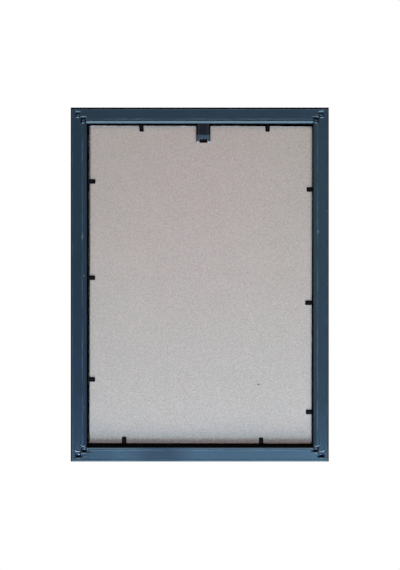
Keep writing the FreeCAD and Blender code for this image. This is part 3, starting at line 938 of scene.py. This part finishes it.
def strongest(tree, marks):
    """The largest of several marks."""
    found = marks[0]
    for mark in marks[1:]:
        found = maths(tree, "MAXIMUM", found, mark)
    return found


def blend_colours(tree, share, first, second):
    """The first colour at share 0, the second at 1, and a straight blend between."""
    made = node(tree, "ShaderNodeMix", data_type="RGBA")
    for socket, value in (("Factor_Float", share), ("A_Color", first), ("B_Color", second)):
        target = next(s for s in made.inputs if s.identifier == socket)
        if isinstance(value, bpy.types.NodeSocket):
            tree.links.new(value, target)
        else:
            target.default_value = (*value, 1.0)
    return next(s for s in made.outputs if s.identifier == "Result_Color")


def paint_over(tree, colour, paints, masks):
    """A colour with paints laid over it in turn.

    Each paint is (mask, start, full, most, colour). It covers nothing where its mask is at start, its most
    where the mask is at full, and in proportion between.
    """
    for mask, start, full, most, paint in paints:
        colour = blend_colours(tree, spread(tree, masks[mask], start, full, 0.0, most), colour, paint)
    return colour


def bump(tree, height, strength, distance, normal=None):
    """A normal tilted by a height, on top of an earlier normal."""
    inputs = {"Height": height, "Strength": strength, "Distance": distance}
    if normal is not None:
        inputs["Normal"] = normal
    return node(tree, "ShaderNodeBump", inputs).outputs["Normal"]


def round_mark(tree, place, centre, size):
    """1 near a centre, falling to 0 at size away from it along each axis, in mm."""
    location = [-c / s for c, s in zip(centre, size)]
    scale = [1 / (s * MM) for s in size]
    shifted = node(tree, "ShaderNodeMapping", {"Vector": place, "Location": location, "Scale": scale})
    away = node(tree, "ShaderNodeVectorMath", {0: shifted.outputs["Vector"]}, operation="LENGTH")
    return spread(tree, away.outputs["Value"], 1.0, 0.3)


def box_mark(tree, place, centre, half, soft):
    """1 inside a box about a centre, as seen from the back, falling to 0 over a soft edge, in mm."""
    middle = [c * MM for c in centre]
    shifted = node(tree, "ShaderNodeVectorMath", {0: place, 1: middle}, operation="SUBTRACT")
    apart = node(tree, "ShaderNodeVectorMath", {0: shifted.outputs["Vector"]}, operation="ABSOLUTE")
    parts = node(tree, "ShaderNodeSeparateXYZ", {0: apart.outputs["Vector"]}).outputs
    past_side = maths(tree, "SUBTRACT", parts["X"], half[0] * MM)
    past_end = maths(tree, "SUBTRACT", parts["Z"], half[1] * MM)
    return spread(tree, maths(tree, "MAXIMUM", past_side, past_end), soft * MM, 0.0)


# The moulding's two shades of slate, and the paints laid over them: streaks, scuffs, painted highlights and
# glints, and painted shade in the deep slits.
SLATE_SHADES = (0.0008, 0.0025, 0.018), (0.002, 0.0045, 0.026)
SLATE_PAINTS = [
    ("streaks", 0.45, 0.8, 0.4, (0.012, 0.022, 0.045)),
    ("marks", 0.0, 1.0, 0.5, (0.2, 0.25, 0.29)),
    # Painted highlights along the bead, the crest and the bevel's edge.
    ("rubbed", 0.0, 1.0, 1.0, (0.05, 0.085, 0.12)),
    # Painted shade: the deep slits near black.
    ("hollow", 0.9, 1.5, 1.0, (0.0005, 0.0008, 0.001)),
    # Painted highlights on the raised burrs, paler and then glinting at their tips.
    ("pushed", 0.4, 0.85, 0.8, (0.1, 0.17, 0.22)),
    ("pushed", 0.62, 0.85, 0.85, (0.36, 0.58, 0.66)),
    # Painted glints on the dimples' sides.
    ("dimple_glints", 0.0, 1.0, 1.0, (0.24, 0.38, 0.44)),
]

# Pale scuffs on the rails: centre and size along X, Y and Z, in mm.
RAIL_SCUFFS = [
    ((113.5, 0, -91), (1.2, 3, 5)),
    ((112.0, 0, -130), (1.0, 3, 3)),
    ((-114.5, 0, -68), (3.5, 3, 1.2)),
    ((-107.5, 0, -88), (1.2, 3, 3)),
    ((111.7, 0, -264.8), (0.6, 3, 4.5)),
    ((112.2, 0, -252.0), (0.5, 3, 2.5)),
]

# Patches of another gloss on the rails: centre and size along X, Y and Z in mm, and change in roughness.
GLOSS_PATCHES = [
    ((40.6, 0, -295.6), (33, 40, 40), 0.28),
    ((-38, 0, -295.6), (85, 40, 40), 0.09),
    ((117, 0, -90), (40, 40, 85), -0.1),
]


def painted_dimple_glints(tree, place, hollow):
    """Painted glints on a dimple's sides: where it is half deep, in noise, and more the lower it is."""
    sides = maths(tree, "MULTIPLY", spread(tree, hollow, 0.15, 0.4), spread(tree, hollow, 0.95, 0.7))
    speckled = spread(tree, noise(tree, place, 800.0, 2.0), 0.5, 0.62)
    height = node(tree, "ShaderNodeSeparateXYZ", {0: place}).outputs["Z"]
    lower = spread(tree, height, 0.0, -0.25, 0.15, 0.9)
    return maths(tree, "MULTIPLY", maths(tree, "MULTIPLY", sides, speckled), lower)


def moulding_finish():
    """Satin slate-blue plastic, drawn out along the rail, with cloudy patches, streaks, pale scuffs,
    painted highlights and glints, and painted shade in the slits.
    """
    material, tree, shader = new_material("moulding_plastic", 0.4)
    shader.inputs["Specular IOR Level"].default_value = 0.44
    shader.inputs["Specular Tint"].default_value = (0.52, 1.0, 1.0, 1.0)
    shader.inputs["Anisotropic"].default_value = 0.72
    shader.inputs["Anisotropic Rotation"].default_value = 0.25
    place = object_place(tree)
    clouds = noise(tree, place, 55.0, 3.0)
    streaks = noise(tree, run_place(tree, 14, 1500), 1.0, 3.0, 0.6)
    scratches = noise(tree, run_place(tree, 60, 900), 1.0, 5.0, 0.7)
    scuffed = noise(tree, place, 130.0, 5.0, 0.65)
    scratched = spread(tree, scratches, 0.66, 0.74)
    marks = [maths(tree, "MULTIPLY", scratched, spread(tree, scuffed, 0.52, 0.64))]
    for centre, size in RAIL_SCUFFS:
        near = round_mark(tree, place, centre, size)
        marks.append(maths(tree, "MULTIPLY", near, spread(tree, scuffed, 0.46, 0.56)))
    marks = strongest(tree, marks)
    patchy = spread(tree, noise(tree, run_place(tree, 45, 420), 1.0, 4.0, 0.65), 0.42, 0.66)
    hollow = point_mark(tree, "hollow")
    masks = {
        "streaks": streaks,
        "marks": marks,
        # Painted highlight lines, broken into patches.
        "rubbed": maths(tree, "MULTIPLY", point_mark(tree, "rubbed"), patchy),
        "hollow": hollow,
        "pushed": point_mark(tree, "pushed"),
        # Painted glints in the dimples.
        "dimple_glints": painted_dimple_glints(tree, place, hollow),
    }
    slate = blend_colours(tree, spread(tree, clouds, 0.3, 0.7), *SLATE_SHADES)
    tree.links.new(paint_over(tree, slate, SLATE_PAINTS, masks), shader.inputs["Base Color"])

    rough = spread(tree, clouds, 0.3, 0.7, 0.27, 0.31)
    rough = maths(tree, "ADD", rough, spread(tree, marks, 0, 1, 0, 0.2))
    for centre, size, change in GLOSS_PATCHES:
        patch = maths(tree, "MULTIPLY", round_mark(tree, place, centre, size), change)
        rough = maths(tree, "ADD", rough, patch)
    tree.links.new(rough, shader.inputs["Roughness"])
    relief = bump(tree, noise(tree, place, 2600.0, 2.0), 0.25, 0.02 * MM)
    relief = bump(tree, streaks, 0.3, 0.03 * MM, relief)
    tree.links.new(bump(tree, marks, 0.4, 0.04 * MM, relief), shader.inputs["Normal"])
    tangent = node(tree, "ShaderNodeTangent", direction_type="UV_MAP", uv_map="run").outputs["Tangent"]
    tree.links.new(tangent, shader.inputs["Tangent"])
    return material


def black_plastic_and_shade_finish():
    """Black plastic with almost no gloss, inside the rabbet, and painted shade on the shaded edges, bevels
    and slits.
    """
    material, tree, shader = new_material("bare_plastic", 0.6)
    shader.inputs["Specular IOR Level"].default_value = 0.02
    patches = noise(tree, object_place(tree), 300.0, 3.0)
    share = spread(tree, patches, 0.35, 0.7)
    colour = blend_colours(tree, share, (0.0004, 0.0006, 0.0008), (0.0016, 0.002, 0.0022))
    tree.links.new(colour, shader.inputs["Base Color"])
    tree.links.new(bump(tree, patches, 0.3, 0.05 * MM), shader.inputs["Normal"])
    return material


def nail_finish():
    """Dull steel, darkened in patches."""
    material, tree, shader = new_material("nail_steel", 0.45, 1.0)
    patches = noise(tree, object_place(tree), 900.0, 4.0)
    share = spread(tree, patches, 0.35, 0.65)
    colour = blend_colours(tree, share, (0.001, 0.0012, 0.0015), (0.005, 0.0055, 0.006))
    tree.links.new(colour, shader.inputs["Base Color"])
    tree.links.new(spread(tree, patches, 0.3, 0.7, 0.35, 0.6), shader.inputs["Roughness"])
    tree.links.new(bump(tree, patches, 0.3, 0.03 * MM), shader.inputs["Normal"])
    return material


# Black lacquer where it is thick, and the paints laid over it: painted highlights on the hanger's ramp and
# sides, bare metal in its pores with painted highlights at the hanger's feet and teeth, and on a tab's
# crest.
LACQUER_BLACK = (0.0008, 0.001, 0.0012)
LACQUER_PAINTS = [
    # Painted highlights on the hanger's ramp and sides.
    ("hanger_highlights", 0.0, 1.0, 1.0, (0.026, 0.055, 0.06)),
    # Bare metal in the pores, and painted highlights at the hanger's feet and teeth.
    ("bare_and_painted", 0.0, 1.0, 1.0, (0.38, 0.45, 0.4)),
    # Painted highlight along a tab's crest.
    ("crest", 0.0, 1.0, 1.0, (0.015, 0.0165, 0.0155)),
]

# Painted highlights on the hanger, on its ramp and along its sides: centre, half sizes along X and Z, and
# soft edge, in mm.
HANGER_HIGHLIGHTS = [
    ((0.0, -4.0, 0.6), (5.4, 2.7), 0.6),
    ((-4.25, -3.0, 8.5), (0.1, 5.0), 0.35),
    ((4.25, -3.0, 8.5), (0.1, 5.0), 0.35),
]

# Painted highlights on the hanger, pale spots at its feet's tips and its teeth's: centre and size along X,
# Y and Z, in mm.
GLINT_SPOTS = [
    ((5.2, -6.0, -3.2), (1.9, 2.5, 1.5)),
    ((-5.2, -6.0, -3.2), (1.9, 2.5, 1.5)),
    ((1.4, -4.6, -1.2), (0.5, 1.5, 0.7)),
    ((-1.4, -4.6, -1.2), (0.5, 1.5, 0.7)),
]


def lacquer_finish(name, gloss, rough, tint, thin, hanger_highlights=(), glint_spots=()):
    """Black lacquer on steel, paler where it is thin, with bare metal in its pores, painted highlights at
    given spots and patches, and a painted highlight along a tab's crest.
    """
    material, tree, shader = new_material(name, rough)
    shader.inputs["Specular IOR Level"].default_value = gloss
    shader.inputs["Specular Tint"].default_value = (*tint, 1.0)
    place = object_place(tree)
    film = noise(tree, place, 420.0, 3.0)
    pores = spread(tree, noise(tree, place, 1500.0, 5.0, 0.7), 0.68, 0.74, 0.0, 0.3)
    masks = {
        # Bare metal in the pores, and painted highlights at the given spots.
        "bare_and_painted": strongest(tree, [pores] + [round_mark(tree, place, *spot) for spot in glint_spots]),
        "crest": point_mark(tree, "rubbed"),
    }
    # Painted highlights on the hanger's ramp and sides, broken into clouds.
    if hanger_highlights:
        cloudy = spread(tree, noise(tree, place, 700.0, 3.0), 0.35, 0.65, 0.2, 1.0)
        rubbed = strongest(tree, [box_mark(tree, place, *highlight_patch) for highlight_patch in hanger_highlights])
        masks["hanger_highlights"] = maths(tree, "MULTIPLY", rubbed, cloudy)
    lacquer = blend_colours(tree, spread(tree, film, 0.35, 0.7), LACQUER_BLACK, thin)
    paints = [paint for paint in LACQUER_PAINTS if paint[0] in masks]
    tree.links.new(paint_over(tree, lacquer, paints, masks), shader.inputs["Base Color"])
    tree.links.new(spread(tree, film, 0.3, 0.7, rough - 0.05, rough + 0.07), shader.inputs["Roughness"])
    relief = bump(tree, noise(tree, place, 1800.0, 2.0), 0.2, 0.02 * MM)
    tree.links.new(bump(tree, film, 0.25, 0.05 * MM, relief), shader.inputs["Normal"])
    return material


# The board's two shades, and the paints laid over them: a warm middle, blotches, painted shade darkening
# and greening the lower half and browning the bottom edge, a frayed top edge, grains and fibres, specks,
# and painted shade behind the hanger's notch. Heights start and end in metres.
BOARD_SHADES = (0.381, 0.398, 0.317), (0.407, 0.421, 0.338)
BOARD_PAINTS = [
    ("warm", 0.0, 1.0, 0.65, (0.412, 0.393, 0.33)),
    ("blotches", 0.5, 0.7, 0.32, (0.427, 0.391, 0.332)),
    ("blotches", 0.5, 0.3, 0.3, (0.356, 0.404, 0.32)),
    # Painted shade: the lower half darker and greener.
    ("height", -0.12, -0.26, 0.5, (0.325, 0.37, 0.315)),
    # Painted shade along the bottom edge, where the bottom rail shades the board: brown, and darker still
    # at the very edge.
    ("height", -0.279, -0.287, 0.6, (0.28, 0.25, 0.2)),
    ("height", -0.2812, -0.2838, 0.55, (0.13, 0.112, 0.08)),
    ("frayed", 0.0, 1.0, 1.0, (0.72, 0.72, 0.7)),
    ("grains", 0.5, 0.25, 0.6, (0.23, 0.225, 0.19)),
    ("grains", 0.5, 0.75, 0.6, (0.59, 0.585, 0.51)),
    ("fibres_across", 0.66, 0.76, 0.25, (0.62, 0.6, 0.59)),
    ("fibres_upright", 0.34, 0.25, 0.25, (0.3, 0.28, 0.27)),
    ("specks", 0.0, 1.0, 1.0, (0.03, 0.025, 0.02)),
    # Painted shade behind the hanger's notch, near black.
    ("notch_shade", 0.0, 1.0, 1.0, (0.002, 0.002, 0.002)),
]
WARM_MIDDLE = ((8, -6.7, -70), (100, 100, 120))
FRAYED_EDGE = (0.0116, 0.0122)
# Painted shade behind the hanger's notch: centre, half sizes along X and Z, and soft edge, in mm.
NOTCH_SHADE = ((0.0, -6.7, -1.5), (3.4, 1.7), 0.5)

# Dark specks on the board: centre and size along X, Y and Z, in mm.
BOARD_SPECKS = [
    ((-52.0, -6.7, -231.3), (1.1, 2, 1.0)),
    ((95.4, -6.7, -88.3), (0.5, 2, 0.6)),
    ((93.0, -6.7, -92.1), (0.45, 2, 0.5)),
]


def board_finish():
    """Raw fibreboard: grey-beige, cloudy, finely grained, with short fibres both ways and dark specks, and
    painted shade on its lower half, along its bottom edge and behind the hanger's notch.
    """
    material, tree, shader = new_material("raw_fibreboard", 0.9)
    shader.inputs["Specular IOR Level"].default_value = 0.06
    place = object_place(tree)
    clouds = noise(tree, place, 16.0, 3.0)
    blotches = noise(tree, place, 90.0, 3.0)
    grains = noise(tree, place, 1250.0, 2.0, 0.7)
    fibres = noise(tree, object_place(tree, (1, 1, 0.22)), 1400.0, 2.0, 0.6)
    height = node(tree, "ShaderNodeSeparateXYZ", {0: place}).outputs["Z"]
    at_top = spread(tree, height, *FRAYED_EDGE)
    masks = {
        "warm": round_mark(tree, place, *WARM_MIDDLE),
        "blotches": blotches,
        "height": height,
        "frayed": maths(tree, "MULTIPLY", at_top, spread(tree, blotches, 0.5, 0.56)),
        "grains": grains,
        "fibres_across": fibres,
        "fibres_upright": noise(tree, object_place(tree, (0.22, 1, 1)), 1300.0, 2.0, 0.6),
        "specks": strongest(tree, [round_mark(tree, place, *speck) for speck in BOARD_SPECKS]),
        # Painted shade behind the notch.
        "notch_shade": box_mark(tree, place, *NOTCH_SHADE),
    }
    board = blend_colours(tree, spread(tree, clouds, 0.3, 0.7), *BOARD_SHADES)
    tree.links.new(paint_over(tree, board, BOARD_PAINTS, masks), shader.inputs["Base Color"])
    relief = bump(tree, grains, 0.35, 0.08 * MM)
    tree.links.new(bump(tree, fibres, 0.25, 0.05 * MM, relief), shader.inputs["Normal"])
    return material


def paper_finish():
    """Matt off-white paper with faint fibres."""
    material, tree, shader = new_material("plain_paper", 0.85)
    shader.inputs["Specular IOR Level"].default_value = 0.2
    fibres = noise(tree, object_place(tree), 900.0, 4.0, 0.65)
    colour = blend_colours(tree, spread(tree, fibres, 0.35, 0.65), (0.74, 0.73, 0.7), (0.8, 0.79, 0.765))
    tree.links.new(colour, shader.inputs["Base Color"])
    tree.links.new(bump(tree, fibres, 0.2, 0.03 * MM), shader.inputs["Normal"])
    return material


def glass_finish():
    """Clear float glass. Lamps shine straight through it."""
    material, tree, shader = new_material("float_glass", 0.0)
    shader.inputs["Base Color"].default_value = (0.965, 0.985, 0.975, 1.0)
    shader.inputs["Transmission Weight"].default_value = 1.0
    shader.inputs["IOR"].default_value = 1.5
    lamps = node(tree, "ShaderNodeLightPath").outputs["Is Shadow Ray"]
    clear = node(tree, "ShaderNodeBsdfTransparent", {"Color": (0.95, 0.97, 0.96, 1.0)}).outputs["BSDF"]
    mixed = node(tree, "ShaderNodeMixShader", {"Fac": lamps, 1: shader.outputs["BSDF"], 2: clear})
    tree.links.new(mixed.outputs["Shader"], tree.nodes["Material Output"].inputs["Surface"])
    return material


def wear(piece, *materials):
    """Gives a piece its materials, the main one first."""
    if piece.data.materials:
        piece.data.materials.clear()
    for material in materials:
        piece.data.materials.append(material)


# Studio


# The lamps: offset from the frame's middle, width, height, power and colour. The four windows and the two
# side lamps are what the rails' gloss shows. The soft ones light the front.
LAMPS = {
    "window_27": ((-0.1, 0.891, -0.454), 0.6, 0.18, 4.7, (1.0, 1.04, 1.56)),
    "window_52": ((0.0, 0.616, -0.788), 0.9, 0.18, 3.7, (0.64, 0.97, 1.0)),
    "window_64": ((0.0, 0.438, -0.899), 0.9, 0.18, 3.8, (0.92, 0.7, 1.3)),
    "window_74": ((0.0, 0.276, -0.961), 0.9, 0.18, 7.8, (1.0, 0.78, 0.7)),
    "side_window": ((-0.42, 0.91, 0.0), 0.15, 0.7, 1.2, (1.1, 1.0, 0.8)),
    "far_side": ((0.97, 0.24, 0.0), 0.18, 0.7, 0.6, (1.1, 0.95, 0.7)),
    "warm_room": ((0.0, 0.75, 0.75), 0.9, 0.5, 2.2, (1.15, 0.45, 0.2)),
    "soft_front": ((-0.6, -1.3, 0.8), 1.3, 1.0, 22.0, (1.0, 0.98, 0.96)),
    "soft_front_left": ((1.0, -0.9, -0.1), 0.8, 1.0, 8.0, (0.96, 0.98, 1.0)),
}
MIDDLE = (cad_box[0] + cad_box[1]) / 2
FLOOR_HALF = 3.0
FLOOR_DROP = 1.1
FLOOR_GLOW = 0.9
SOFT_LIGHT = 0.02

# The photograph: its size in pixels, where the frame's middle lies in it, and the scale of its back plane.
PHOTO_WIDTH, PHOTO_HEIGHT = 400, 570
MIDDLE_PIXEL = (199.76, 284.53)
PIXELS_PER_METRE = 1067.5
CAMERA_DISTANCE = 1.0
SENSOR = 36.0


def area_lamp(name, offset, width, height, power, colour):
    """A rectangular lamp at an offset from the frame's middle, aimed at it."""
    lamp = bpy.data.lights.new(name, "AREA")
    lamp.shape = "RECTANGLE"
    lamp.size = width
    lamp.size_y = height
    lamp.energy = power
    lamp.color = colour
    holder = bpy.data.objects.new(name, lamp)
    holder.location = MIDDLE + Vector(offset)
    holder.rotation_euler = (-Vector(offset)).to_track_quat("-Z", "Y").to_euler()
    bpy.context.scene.collection.objects.link(holder)


def seen_rays(tree):
    """1 for rays from the camera and for rays that mirrors and glass send on, and 0 for the rest."""
    rays = node(tree, "ShaderNodeLightPath").outputs
    return strongest(tree, [rays["Is Camera Ray"], rays["Is Glossy Ray"], rays["Is Transmission Ray"]])


def make_floor():
    """A wide flat floor well below the frame. It shows white and keeps the frame's shadow."""
    corners = np.array([(-1, -1, 0), (1, -1, 0), (1, 1, 0), (-1, 1, 0)]) * FLOOR_HALF
    corners[:, 2] = MIDDLE.z - FLOOR_DROP
    floor = make_mesh("studio_floor", corners, np.array([[0, 1, 2, 3]]))
    material, tree, shader = new_material("pale_floor", 0.9)
    shader.inputs["Base Color"].default_value = (0.8, 0.8, 0.8, 1.0)
    strength = maths(tree, "MULTIPLY", seen_rays(tree), FLOOR_GLOW)
    glow = node(tree, "ShaderNodeEmission", {"Strength": strength}).outputs["Emission"]
    both = node(tree, "ShaderNodeAddShader", {0: shader.outputs["BSDF"], 1: glow}).outputs["Shader"]
    tree.links.new(both, tree.nodes["Material Output"].inputs["Surface"])
    wear(floor, material)


def make_world():
    """Soft light from all round, and plain white behind the frame."""
    world = bpy.data.worlds.new("studio")
    bpy.context.scene.world = world
    world.use_nodes = True
    tree = world.node_tree
    soft = tree.nodes["Background"]
    soft.inputs["Color"].default_value = (1.0, 1.0, 1.0, 1.0)
    soft.inputs["Strength"].default_value = SOFT_LIGHT
    white = node(tree, "ShaderNodeBackground", {"Color": (1, 1, 1, 1), "Strength": 1.0})
    mixed = node(tree, "ShaderNodeMixShader", {
        "Fac": seen_rays(tree), 1: soft.outputs["Background"], 2: white.outputs["Background"],
    })
    tree.links.new(mixed.outputs["Shader"], tree.nodes["World Output"].inputs["Surface"])


def make_camera():
    """A camera square to the frame's back, where the photograph was taken from."""
    camera = bpy.data.cameras.new("camera")
    camera.sensor_fit = "AUTO"
    camera.sensor_width = SENSOR
    camera.lens = SENSOR * CAMERA_DISTANCE / (PHOTO_HEIGHT / PIXELS_PER_METRE)
    camera.clip_start = 0.05
    camera.clip_end = 50
    holder = bpy.data.objects.new("camera", camera)
    right = (PHOTO_WIDTH / 2 - MIDDLE_PIXEL[0]) / PIXELS_PER_METRE
    up = (MIDDLE_PIXEL[1] - PHOTO_HEIGHT / 2) / PIXELS_PER_METRE
    holder.location = Vector((MIDDLE.x - right, cad_box[1].y + CAMERA_DISTANCE, MIDDLE.z + up))
    holder.rotation_euler = (math.radians(90), 0, math.radians(180))
    bpy.context.scene.collection.objects.link(holder)
    bpy.context.scene.camera = holder


slate = moulding_finish()
bare_plastic = black_plastic_and_shade_finish()
tab_lacquer = lacquer_finish("tab_lacquer", 0.012, 0.45, (0.8, 0.95, 1.0), (0.0008, 0.001, 0.0011))
# The hanger's rolled sides get a darker, duller copy of its lacquer: painted shade.
rolled_lacquer = lacquer_finish("rolled_lacquer", 0.01, 0.6, (0.8, 0.9, 1.0), (0.0015, 0.0018, 0.002))
# The hanger's lacquer carries painted highlights on its ramp, sides, feet and teeth.
hanger_lacquer = lacquer_finish(
    "hanger_lacquer", 0.2, 0.36, (0.6, 0.8, 1.0), (0.003, 0.0035, 0.009), HANGER_HIGHLIGHTS, GLINT_SPOTS)
steel = nail_finish()
for side in SIDES.values():
    # Each rail wears the slate, and the black plastic inside the rabbet and as painted shade.
    wear(make_rail(side), slate, bare_plastic)
    for where in TABS[side.name]:
        wear(make_tab(side, where), tab_lacquer)
for corner, which in DIMPLES:
    wear(make_nail(corner, which), steel)
wear(make_hanger(), hanger_lacquer, rolled_lacquer)
wear(make_board(), board_finish())
wear(frame["nodes"]["picture_sheet"], paper_finish())
wear(frame["nodes"]["pane"], glass_finish())
for name, lamp in LAMPS.items():
    area_lamp(name, *lamp)
make_floor()
make_world()
make_camera()

scene = bpy.context.scene
scene.view_settings.view_transform = "Standard"
